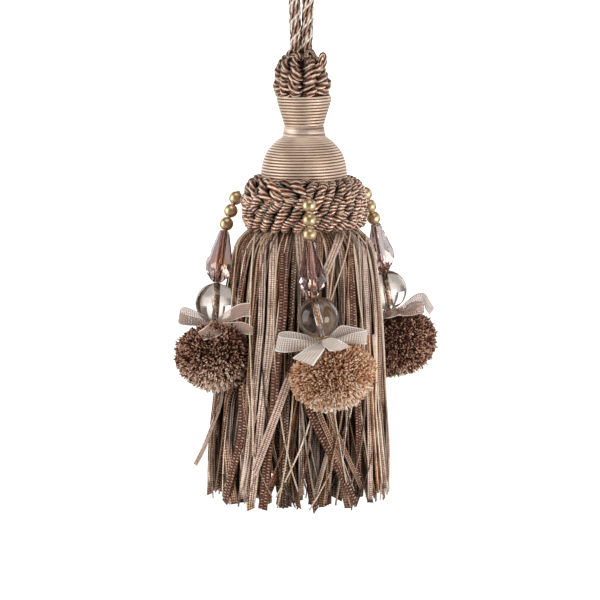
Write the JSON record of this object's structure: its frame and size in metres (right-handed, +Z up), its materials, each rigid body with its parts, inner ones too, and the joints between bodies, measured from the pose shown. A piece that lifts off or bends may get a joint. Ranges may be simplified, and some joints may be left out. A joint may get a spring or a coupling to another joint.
{
  "type": "key tassel with bead and pompom drops",
  "caption": "Hanging key tassel: cord loop, looped-cord topknot, silk-wound head, looped-cord ruff over a ribbon skirt, and beaded drops ending in bows and pompoms.",
  "frame": {"origin": "inside top of the hanging cord's loop, where the tassel hangs", "axes": "+Z up along the tassel's axis, front faces -Y, +X to the right seen from the front"},
  "size_m": [0.0778, 0.077, 0.1692],
  "materials": {
    "twisted_cord": "twisted silk cord, cream and tan plies",
    "looped_cord": "looped two-tone cord, beige with rust",
    "winding_silk": "satin silk winding, champagne",
    "band_silk": "smooth silk wrapping, taupe",
    "ribbon_fringe": "woven narrow ribbon, taupe, tan and dark brown",
    "bead_thread": "tan thread",
    "gold_bead": "satin",
    "pink_crystal": "faceted, champagne pink",
    "clear_glass": "clear, faintly smoky",
    "cream_ribbon": "sheer cream ribbon",
    "taupe_ribbon": "sheer taupe ribbon",
    "tan_yarn": "cut yarn, tan with cream tips",
    "brown_yarn": "cut yarn, dark brown with tan tips"
  },
  "bodies": {
    "root": {"hanging_cord": "twisted_cord", "topknot": "looped_cord", "wound_head": "winding_silk", "neck_band": "band_silk", "ruff": "looped_cord", "skirt": "ribbon_fringe", "thread_front": "bead_thread", "thread_right": "bead_thread", "thread_left": "bead_thread", "gold_1_front": "gold_bead", "gold_2_front": "gold_bead", "gold_3_front": "gold_bead", "gold_1_right": "gold_bead", "gold_2_right": "gold_bead", "gold_3_right": "gold_bead", "gold_1_left": "gold_bead", "gold_2_left": "gold_bead", "gold_3_left": "gold_bead", "crystal_front": "pink_crystal", "crystal_right": "pink_crystal", "crystal_left": "pink_crystal", "glass_front": "clear_glass", "glass_right": "clear_glass", "glass_left": "clear_glass", "cap_front": "gold_bead", "cap_right": "gold_bead", "cap_left": "gold_bead", "bow_front": "cream_ribbon", "bow_right": "taupe_ribbon", "bow_left": "taupe_ribbon", "pompom_front": "tan_yarn", "pompom_right": "brown_yarn", "pompom_left": "brown_yarn"}
  },
  "joints": []
}
